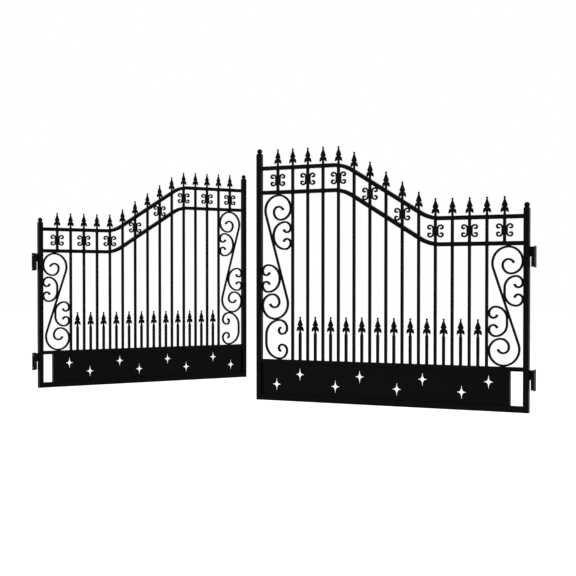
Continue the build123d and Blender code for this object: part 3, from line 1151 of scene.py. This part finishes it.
print("a bead's ripples are", ripple_sizes[0], "to", ripple_sizes[1], "times its size")

# %% [markdown]
# ## Beads of the pickets, the dog bars and the spears
#
# The pickets and dog bars are welded at their feet, under the top rail, and
# above and below the punched rail. The spears are welded round their necks.
# All of these could be laid level, but on the slope of the arch they would
# then stand off the rail, so a bead leans by the slope at its place.

# %% Lay the beads of the bars
UP, DOWN = (0, 0, 1), (0, 0, -1)
LEVEL, DEEP = (1, 0, 0), (0, 1, 0)
bead_size = 2.6 * MM


def arch_slope(place):
    """Rise of the arch for each metre along the leaf, at a place."""
    step = 1 * MM
    return (arch_height(place + step) - arch_height(place - step)) / (2 * step)


def draw_bar_beads(drawing):
    """A bead at each end of each bar and on both sides of the punched rail."""
    for place in (*picket_places[1:-1], *dog_bar_places):
        bead(drawing, (place, 0, panel_top), LEVEL, DEEP, UP, picket_ring, bead_size)
    for place in picket_places:
        slope_way = (1, 0, arch_slope(place))
        rail_top = low_rail_top + arch_height(place)
        upper, under = (place, 0, rail_top - rail_height), (place, 0, rail_top - arch_spacing)
        bead(drawing, upper, slope_way, DEEP, DOWN, picket_ring, bead_size)
        bead(drawing, under, slope_way, DEEP, UP, picket_ring, bead_size)
        if place in picket_places[1:-1]:
            below = (place, 0, rail_top - arch_spacing - rail_height)
            bead(drawing, below, slope_way, DEEP, DOWN, picket_ring, bead_size)


def draw_spear_beads(drawing):
    """A bead round the neck of each spear on the top rail."""
    for place in picket_places:
        seat = (place, 0, low_rail_top + arch_height(place))
        bead(drawing, seat, (1, 0, arch_slope(place)), DEEP, UP, neck_ring, bead_size)


put_on_leaves("bar_weld_beads", None, draw_bar_beads, frame_coat)
put_on_leaves("spear_weld_beads", None, draw_spear_beads, casting_coat)

# %% [markdown]
# ## Beads at the ends of the rails
#
# Each rail butts against a stile and is welded all round. The bead is the
# same as at a picket, only lying on its side: up and deep are the ways round
# the rail, and it runs off from the stile. At the foot of the leaf it is
# taken to be ground flush. A boolean could cut it there, but it is enough to
# move the points that would stand below the leaf up to its lower edge.

# %% Lay the beads of the rails
rail_bead_size = 1.7 * MM
rail_bead_steps = 6
BACK = (-1, 0, 0)


def rail_spans():
    """Each rail with its lower and upper edge at the hinge stile and at the meeting stile."""
    bottom_span = tuple(corner[1] for corner in box_on_leaf("bottom_rail"))
    panel_span = (panel_top - rail_height, panel_top)
    spans = [("bottom_rail", bottom_span, bottom_span), ("panel_top_rail", panel_span, panel_span)]
    for node, drop in (("top_rail", 0), ("second_rail", arch_spacing)):
        low_end = (low_rail_top - drop - rail_height, low_rail_top - drop)
        spans.append((node, low_end, (low_end[0] + arch_rise, low_end[1] + arch_rise)))
    return spans


def draw_rail_beads(drawing):
    """A bead round each end of each rail, ground flush at the foot of the leaf."""
    for node, hinge_span, meeting_span in rail_spans():
        for place, (bottom, top), way in (
            (stile_width, hinge_span, LEVEL), (leaf_width - stile_width, meeting_span, BACK),
        ):
            ring = square_ring((top - bottom) / 2, depth_of(node) / 2, rail_bead_steps)
            bead(drawing, (place, 0, (bottom + top) / 2), UP, DEEP, way, ring, rail_bead_size)
    for corner in drawing.verts:
        corner.co.z = max(corner.co.z, 0.0)


put_on_leaves("rail_weld_beads", None, draw_rail_beads, frame_coat)

# %% [markdown]
# ## A lump of weld
#
# Where a scroll only touches its neighbour there is no corner to fill. The
# welder leaves a small oval lump there. A scaled sphere would do, but it
# would be an object of its own, so the same rings and skin make one inside
# the mesh of all the lumps.

# %% Draw a lump
lump_rows = 6
lump_sides = 10


def lump(drawing, middle, half_sizes):
    """A small oval lump of weld."""
    rings = []
    for row in range(1, lump_rows):
        lift = math.pi * row / lump_rows
        ring = []
        for side in range(lump_sides):
            turn = 2 * math.pi * side / lump_sides
            ring.append(drawing.verts.new((
                middle[0] + half_sizes[0] * math.sin(lift) * math.cos(turn),
                half_sizes[1] * math.sin(lift) * math.sin(turn),
                middle[1] + half_sizes[2] * math.cos(lift),
            )))
        rings.append(ring)
    skin(drawing, rings)


print("a lump has", lump_rows - 1, "rings of", lump_sides, "points")

# %% [markdown]
# ## Tack welds of the scrolls
#
# The S scroll is tacked to the rails at its ends and to the sides where its
# loops touch, with a lump on both sides of each touching point. The C scrolls
# are tacked where their arms meet the panel's side. The places could be read
# off the picture, but they are worked out from the scrolls' own lines.

# %% Tack the scrolls
tack_long = 9 * MM
tack_short = 2.4 * MM
tack_deep = 8 * MM
tack_shift = 9 * MM
lying_tack = (tack_long, tack_deep, tack_short)
standing_tack = (tack_short, tack_deep, tack_long)


def touch_points(low, high, low_v, high_v):
    """Where an S scroll touches its panel: along, up and whether the touched side is level."""
    first = s_parts(low, high, low_v, high_v)[0]
    low_middle = low + loop_side_gap + first
    high_middle = high - loop_side_gap - first
    side_lift = half_bar + high - low - loop_side_gap - first
    return (
        (low_middle, low_v, True), (high_middle, high_v, True),
        (high + half_bar, low_v + side_lift, False), (low - half_bar, high_v - side_lift, False),
    )


def draw_scroll_tacks(drawing):
    """Tack welds between the scrolls and what they touch."""
    for panel in (hinge_panel, meeting_panel):
        for place, height, level in touch_points(*panel):
            for shift in (-tack_shift, tack_shift):
                spot = (place + shift, height) if level else (place, height + shift)
                lump(drawing, spot, lying_tack if level else standing_tack)
        low, high, low_v, high_v = panel
        for side_u, height in ((low - half_bar, high_v - c_place), (high + half_bar, low_v + c_place)):
            for arm_way in (-1, 1):
                lift = arm_way * (c_half_height - c_curls[0])
                lump(drawing, (side_u, height + lift), standing_tack)


put_on_leaves("scroll_tack_welds", None, draw_scroll_tacks, scroll_coat)

# %% [markdown]
# ## Stars of the kick panel
#
# Pairs of four-pointed stars are cut through the sheet, and their sides are
# hollow. Eight straight lines would give a stiff star, so each side is a
# quarter of an oval. Its waves are pinched, drawn nearer to 1 by a power, so
# that the waist is slimmer than a true oval's, as in the photo.

# %% Outline of a star
star_height = 90 * MM
star_width = 64 * MM
star_tip = 3 * MM
star_pinch = 0.75
star_side_steps = 12


def pinched(wave):
    """A sine or cosine drawn nearer to 1, which slims the star's waist."""
    return math.copysign(abs(wave) ** star_pinch, wave)


def star_outline(middle_u, middle_v):
    """Points round a star whose four sides are hollow, slimmer than quarter ovals."""
    points = []
    half_w, half_h = star_width / 2, star_height / 2
    for side_u, side_v, start in ((1, 1, 270), (-1, 1, 360), (-1, -1, 90), (1, -1, 180)):
        for step in range(star_side_steps + 1):
            angle = math.radians(start - 90 * step / star_side_steps)
            spot_u = side_u * half_w + (half_w - star_tip / 2) * pinched(math.cos(angle))
            spot_v = side_v * half_h + (half_h - star_tip / 2) * pinched(math.sin(angle))
            points.append((middle_u + spot_u, middle_v + spot_v))
    return points


print("a star has", len(star_outline(0, 0)), "points round its edge")

# %% [markdown]
# ## Cut a plate
#
# The kick panel and the hinge plates are flat steel with holes. Cutting each
# hole with a boolean would take a step for each and leave its edges sharp. A
# flat curve needs one: the first outline is the rim, the others are holes, and
# the curve's extrusion and bevel give the thickness and the soft edges.
# Blender leaves that mesh in loose strips, so its points are welded at the
# end, which makes it one closed skin.

# %% A plate with holes
weld_distance = 0.01 * MM


def add_outline(curve, points):
    """A closed outline on a flat curve."""
    spline = curve.splines.new("POLY")
    spline.points.add(len(points) - 1)
    for spot, (u, v) in zip(spline.points, points):
        spot.co = (u, v, 0, 1)
    spline.use_cyclic_u = True


def cut_plate(name, thickness, edge, outlines):
    """A flat plate with softened edges: the first outline is its rim, the others are holes."""
    curve = bpy.data.curves.new(name, "CURVE")
    curve.dimensions = "2D"
    curve.fill_mode = "BOTH"
    curve.extrude = thickness / 2 - edge
    curve.bevel_depth = edge
    curve.bevel_resolution = 1
    curve.offset = -edge
    for points in outlines:
        add_outline(curve, points)
    carrier = bpy.data.objects.new(name, curve)
    loose = bpy.data.meshes.new_from_object(carrier)
    bpy.data.objects.remove(carrier)

    def weld(drawing):
        drawing.from_mesh(loose)
        bmesh.ops.remove_doubles(drawing, verts=drawing.verts, dist=weld_distance)
        bmesh.ops.dissolve_degenerate(drawing, dist=weld_distance, edges=drawing.edges)

    return mesh_of(name, weld)


def rectangle(low, high):
    """The four corners between a low and a high corner."""
    return [low, (high[0], low[1]), high, (low[0], high[1])]


print("points nearer than", round(weld_distance / MM, 3), "mm are welded")

# %% [markdown]
# ## The kick panel
#
# The sheet fills the frame between the bottom rail and the panel's top rail.
# Its stars stand in pairs, one high and one low. They could be placed by eye,
# but the pairs are spread evenly between two end margins, so they would stay
# even on a wider leaf. The plate is cut lying down and then stood up.

# %% Cut the kick panel
star_pairs = 4
star_end_margin = 228 * MM
star_offset = 198 * MM
star_step = 80 * MM
sheet_low, sheet_high = box_on_leaf("kick_panel")
sheet_thickness = depth_of("kick_panel")
sheet_edge = 0.4 * MM


def sheet_outlines():
    """The rim of the sheet and its stars."""
    outlines = [rectangle(sheet_low, sheet_high)]
    middle_u = (sheet_low[0] + sheet_high[0]) / 2
    middle_v = (sheet_low[1] + sheet_high[1]) / 2
    star_pair_pitch = (sheet_high[0] - sheet_low[0] - 2 * star_end_margin) / (star_pairs - 1)
    for pair in range(star_pairs):
        pair_u = middle_u + (pair - (star_pairs - 1) / 2) * star_pair_pitch
        for side in (-1, 1):
            star_u = pair_u + side * star_offset / 2
            outlines.append(star_outline(star_u, middle_v - side * star_step / 2))
    return outlines


panel_mesh = cut_plate("sheet", sheet_thickness, sheet_edge, sheet_outlines())
panel_mesh.transform(Matrix.Rotation(math.pi / 2, 4, "X"))
for side, place in leaf_place.items():
    put(
        f"{side}_kick_panel_sheet", panel_mesh, sheet_coat, f"{side}_leaf", place,
        f"{side}_kick_panel",
    )
print("kick panel", len(panel_mesh.polygons), "faces")

# %% [markdown]
# ## Stitch welds round the sheet
#
# A sheet this thin would warp under one long weld, so it is stitched: short
# runs of weld with gaps between them, along all four edges. A run could be a
# bead of its own, but from a step away it is a long flat lump, so the lump is
# used again. The gaps are spread evenly, whatever the length of the edge.

# %% Stitch the sheet to its frame
stitch_half_length = 16 * MM
stitch_pitch = 150 * MM
stitch_fillet = 2.2 * MM
stitch_deep = sheet_thickness / 2 + 2 * MM


def stitch_places(low, high):
    """Middles of the stitches along an edge, evenly spaced."""
    count = max(2, round((high - low) / stitch_pitch))
    return [low + (high - low) * (index + 0.5) / count for index in range(count)]


def draw_stitches(drawing):
    """Short welds where the sheet meets its frame."""
    for height in (sheet_low[1], sheet_high[1]):
        for place in stitch_places(sheet_low[0], sheet_high[0]):
            lump(drawing, (place, height), (stitch_half_length, stitch_deep, stitch_fillet))
    for place in (sheet_low[0], sheet_high[0]):
        for height in stitch_places(sheet_low[1], sheet_high[1]):
            lump(drawing, (place, height), (stitch_fillet, stitch_deep, stitch_half_length))


put_on_leaves("panel_stitch_welds", None, draw_stitches, sheet_coat)

# %% [markdown]
# ## Hinges
#
# Each hinge is a bracket bolted to the pillar, whose barrel carries an
# upright pin, and a knuckle on the stile that sits on the bracket's barrel.
# Barrels are turned on a lathe. The screw modifier turns an outline too, but
# rings of one radius and height each are simpler here, and the skin that
# covers them is already at hand.

# %% Turned pieces
barrel_radius = 11 * MM
chamfer = 1.2 * MM
turned_sides = 40


def turned_rings(drawing, rows):
    """Rings of a turned piece about the upright axis, from rows of (radius, height)."""
    rings = []
    for radius, height in rows:
        ring = []
        for index in range(turned_sides):
            angle = 2 * math.pi * index / turned_sides
            ring.append(drawing.verts.new((radius * math.cos(angle), radius * math.sin(angle), height)))
        rings.append(ring)
    return rings


def barrel_rows(low, high):
    """Rows of a solid barrel with chamfered ends."""
    inner = barrel_radius - chamfer
    return (
        (inner, low), (barrel_radius, low + chamfer), (barrel_radius, high - chamfer), (inner, high)
    )


print("barrels are", round(2 * barrel_radius, 4), "m thick, with", turned_sides, "sides")

# %% [markdown]
# ## The arm of a barrel
#
# A flat arm joins each barrel to the plate or the stile. It is as high as its
# barrel and lies along the barrel's front half, so no light shows between the
# barrel and what carries it. A plain block would meet the stile in a hard
# line, so the arm has soft corners and a bead of weld where it ends.

# %% Draw an arm
arm_bead_size = 1.5 * MM
arm_bead_steps = 8


def arm(drawing, start, end, low, high):
    """Flat arm along the barrel's front half, welded to what its end runs into."""
    section = rounded_section(barrel_radius, high - low, chamfer, steps=2)
    middle = (low + high) / 2
    front = -barrel_radius / 2
    skin(drawing, [
        [drawing.verts.new((reach, across + front, middle + up)) for across, up in section]
        for reach in (start, end)
    ])
    back = (math.copysign(1, start - end), 0, 0)
    ring = square_ring((high - low) / 2, barrel_radius / 2, arm_bead_steps)
    bead(drawing, (end, front, middle), UP, DEEP, back, ring, arm_bead_size)


print("an arm is", round(barrel_radius, 4), "m thick")

# %% [markdown]
# ## Bracket and knuckle
#
# The bracket is a solid barrel with an upright pin; the knuckle is a bored
# barrel that drops over the pin. The knuckle's rings go up the outside and
# come down the bore, so the last one joins the first, and the bore is really
# open. Cutting it out with a boolean would give the same, with messier faces.
# Both are drawn about their own axis, with the joint between them at zero.

# %% Draw the bracket and the knuckle
barrel_half = 70 * MM
knuckle_gap = 1 * MM
pin_radius = 6 * MM
pin_foot = -20 * MM
pin_top = barrel_half - 3 * MM
pin_tip = 2 * MM
running_clearance = 0.05 * MM
bore_lead = 0.6 * MM
arm_start = pin_radius + running_clearance + 2.5 * MM
plate_thickness = 6 * MM


def draw_bracket(drawing):
    """Barrel, arm and pin of a bracket, about the axis."""
    skin(drawing, turned_rings(drawing, barrel_rows(-barrel_half, -knuckle_gap / 2)))
    pin_rows = ((pin_radius, pin_foot), (pin_radius, pin_top - pin_tip), (pin_radius - pin_tip, pin_top))
    skin(drawing, turned_rings(drawing, pin_rows))
    arm(drawing, 0, plate_thickness - left_axis.x, -barrel_half, -knuckle_gap / 2)


def draw_knuckle(drawing):
    """Bored knuckle and its arm, about the axis."""
    low, high = knuckle_gap / 2, barrel_half
    bore = pin_radius + running_clearance
    rows = (
        (bore, low), *barrel_rows(low, high), (bore + bore_lead, high), (bore, high - bore_lead),
    )
    hoop(drawing, turned_rings(drawing, rows))
    arm(drawing, arm_start, axis_to_stile, low, high)


bracket = mesh_of("bracket", draw_bracket)
knuckle = mesh_of("knuckle", draw_knuckle)
print("bracket", len(bracket.polygons), "faces, knuckle", len(knuckle.polygons), "faces")

# %% [markdown]
# ## The plate of the bracket
#
# The plate is flat steel with four drilled holes for the anchor bolts. It is
# cut from a flat curve like the kick panel. It could be cut where it stands,
# but a flat curve lies on the floor, so it is cut there, stood up and turned
# to face along the drive.

# %% Cut the plate
plate_width = 50 * MM
plate_height = 150 * MM
plate_edge = 0.8 * MM
plate_hole_radius = 5 * MM
hole_from_middle = (15 * MM, 55 * MM)


def circle(middle, radius, steps=28):
    """Points round a circle."""
    turns = [2 * math.pi * step / steps for step in range(steps)]
    return [(middle[0] + radius * math.cos(turn), middle[1] + radius * math.sin(turn)) for turn in turns]


def plate_outlines():
    """The rim of the bracket's plate and its four holes."""
    half_w, half_h = plate_width / 2, plate_height / 2
    outlines = [rectangle((-half_w, -half_h), (half_w, half_h))]
    for side_w in (-1, 1):
        for side_h in (-1, 1):
            middle = (side_w * hole_from_middle[0], side_h * hole_from_middle[1])
            outlines.append(circle(middle, plate_hole_radius))
    return outlines


plate = cut_plate("plate", plate_thickness, plate_edge, plate_outlines())
plate.transform(
    Matrix.Translation((plate_thickness / 2 - left_axis.x, 0, 0))
    @ Matrix.Rotation(math.pi / 2, 4, "Z") @ Matrix.Rotation(math.pi / 2, 4, "X")
)
print("plate", len(plate.polygons), "faces and", len(plate_outlines()) - 1, "bolt holes")

# %% [markdown]
# ## Hang the hinges
#
# There are two hinges on each pillar. The brackets stay with the pillars and
# the knuckles swing with the leaves, so they ride on different bodies. The
# right hinges are the left ones mirrored, because the front half of an arm
# has to stay in front; turning them half round would put it at the back.

# %% Put the hinges in place
bracket_low, bracket_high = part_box("right_hinge_brackets")
hinge_levels = {
    "lower": bracket_low.z + plate_height / 2,
    "upper": bracket_high.z - plate_height / 2,
}
mirror = Matrix.Diagonal((-1, 1, 1, 1))
hinge_place = {
    "left": (left_axis, Matrix.Identity(4), Matrix.Rotation(left_open, 4, "Z")),
    "right": (right_axis, mirror, mirror),
}
for side, (axis, fixed_turn, leaf_turn) in hinge_place.items():
    for level, height in hinge_levels.items():
        spot = Matrix.Translation((axis.x, axis.y, height))
        for name, mesh in (("bracket_barrel", bracket), ("bracket_plate", plate)):
            put(
                f"{side}_{level}_{name}", mesh, hinge_coat, "pillar_brackets",
                spot @ fixed_turn, f"{side}_hinge_brackets",
            )
        put(
            f"{side}_{level}_knuckle", knuckle, hinge_coat, f"{side}_leaf",
            spot @ leaf_turn, f"{side}_gate_knuckles",
        )
print("hinges at", {level: round(height / MM) for level, height in hinge_levels.items()}, "mm")

# %% [markdown]
# ## A white room
#
# The gate is shown on plain white, as in the photo. Bright lamps could burn
# the floor out to white, but they would wash out the black as well. So
# the floor and the world are white only to the camera, to reflections and
# through glass, and the light on the gate stays soft and plain.

# %% White to the eye
eye_rays = ("Is Camera Ray", "Is Glossy Ray", "Is Transmission Ray")


def white_to_the_eye(nodes, links):
    """1 for the camera and for what it sees mirrored or through glass, else 0."""
    seen = nodes.new("ShaderNodeLightPath")
    value = seen.outputs[eye_rays[0]]
    for kind in eye_rays[1:]:
        either = nodes.new("ShaderNodeMath")
        either.operation = "MAXIMUM"
        links.new(value, either.inputs[0])
        links.new(seen.outputs[kind], either.inputs[1])
        value = either.outputs[0]
    return value


print("the room is white to", len(eye_rays), "kinds of ray:", *eye_rays)

# %% [markdown]
# ## The floor
#
# The floor lies a little under the gate, because a hung leaf doesn't touch
# the drive. It could be a shadow catcher, but then it would be see-through.
# A pale floor with a glow that only the eye sees is white and still takes
# the soft shadow of the gate.

# %% Lay the floor
floor_gap = 60 * MM
floor_size = 60.0
floor_grey = 0.8
floor_glow = 0.94


def glowing_floor_paint():
    """Pale paint that takes a shadow, with a glow that only the eye sees."""
    material = bpy.data.materials.new("pale_floor")
    material.use_nodes = True
    nodes = material.node_tree.nodes
    links = material.node_tree.links
    nodes.remove(nodes["Principled BSDF"])
    pale = nodes.new("ShaderNodeBsdfDiffuse")
    pale.inputs["Color"].default_value = (floor_grey, floor_grey, floor_grey, 1)
    glow = nodes.new("ShaderNodeEmission")
    both = nodes.new("ShaderNodeAddShader")
    strength = nodes.new("ShaderNodeMath")
    strength.operation = "MULTIPLY"
    strength.inputs[1].default_value = floor_glow
    links.new(white_to_the_eye(nodes, links), strength.inputs[0])
    links.new(strength.outputs[0], glow.inputs["Strength"])
    links.new(pale.outputs[0], both.inputs[0])
    links.new(glow.outputs[0], both.inputs[1])
    links.new(both.outputs[0], nodes["Material Output"].inputs["Surface"])
    return material


def white_floor():
    """A pale floor a little under the gate."""
    mesh = bpy.data.meshes.new("floor")
    half = floor_size / 2
    height = leaf_bottom - floor_gap
    corners = [(u, d, height) for u, d in rectangle((-half, -half), (half, half))]
    mesh.from_pydata(corners, [], [(0, 1, 2, 3)])
    floor = bpy.data.objects.new("floor", mesh)
    bpy.context.scene.collection.objects.link(floor)
    mesh.materials.append(glowing_floor_paint())
    return height


print("the floor lies at", round(white_floor(), 3), "m")

# %% [markdown]
# ## The world
#
# The world is what lies behind and above the floor. Its white could be a
# backdrop wall, but a wall would have corners and would show in other views.
# A world has none, and the same switch keeps its light on the gate low.

# %% Paint the world
room_light = 0.10
room_white = 1.0


def white_world():
    """White to the eye, and a low even light on the gate."""
    world = bpy.data.worlds.new("white_room")
    bpy.context.scene.world = world
    world.use_nodes = True
    nodes = world.node_tree.nodes
    links = world.node_tree.links
    background = nodes["Background"]
    background.inputs["Color"].default_value = (1, 1, 1, 1)
    strength = nodes.new("ShaderNodeMapRange")
    strength.inputs["To Min"].default_value = room_light
    strength.inputs["To Max"].default_value = room_white
    links.new(white_to_the_eye(nodes, links), strength.inputs["Value"])
    links.new(strength.outputs["Result"], background.inputs["Strength"])
    return world


print(white_world().name, "lights the gate at", room_light, "and looks", room_white)

# %% [markdown]
# ## Lamps
#
# Three large soft panels light the gate: one from each side in front, and one
# from above and behind for the upper edges of the rails. Small bright lamps
# could give the same amount of light, but with hard shadows and hot spots on
# the paint.

# %% Hang the lamps
def soft_light(name, place, target, size, power):
    """A square soft light that faces a target."""
    light = bpy.data.lights.new(name, "AREA")
    light.size = size
    light.energy = power
    lamp = bpy.data.objects.new(name, light)
    bpy.context.scene.collection.objects.link(lamp)
    lamp.location = place
    aim = Vector(target) - Vector(place)
    lamp.rotation_euler = aim.to_track_quat("-Z", "Y").to_euler()


gate_middle = (2.2, 0.3, 0.6)
lamps = (
    ("left_panel", (-1.5, -5.0, 4.5), 3.0, 110),
    ("right_panel", (7.5, -4.0, 5.0), 3.0, 80),
    ("top_panel", (2.2, 2.5, 6.0), 4.0, 90),
)
for name, place, size, power in lamps:
    soft_light(name, place, gate_middle, size, power)
    print(name, power, "W from", place)

# %% [markdown]
# ## Camera
#
# The camera stands to the right of the gate at waist height, nearly ten
# metres off, so the stiles stay upright and the right leaf looks larger than
# the open left one. A camera can be turned until it looks right, but this one
# was fitted: its place, turn and lens bring chosen points of the gate nearest
# to where they lie in the photo. The view transform is the plain one, so
# black stays black.

# %% Set up the camera
camera_place = (6.684, -8.264, 0.674)
camera_tilt_down = 1.06
camera_turn = 27.95
camera_data = bpy.data.cameras.new("camera")
camera_data.sensor_width = 36
camera_data.lens = 76.1
camera_data.shift_x = 0.03
camera_data.shift_y = 0.03
camera = bpy.data.objects.new("camera", camera_data)
camera.location = camera_place
camera.rotation_euler = (math.radians(90 - camera_tilt_down), 0, math.radians(camera_turn))
bpy.context.scene.collection.objects.link(camera)
bpy.context.scene.camera = camera
bpy.context.scene.view_settings.view_transform = "Standard"
print("the camera stands at", camera_place, "with a lens of", round(camera_data.lens, 1), "mm")
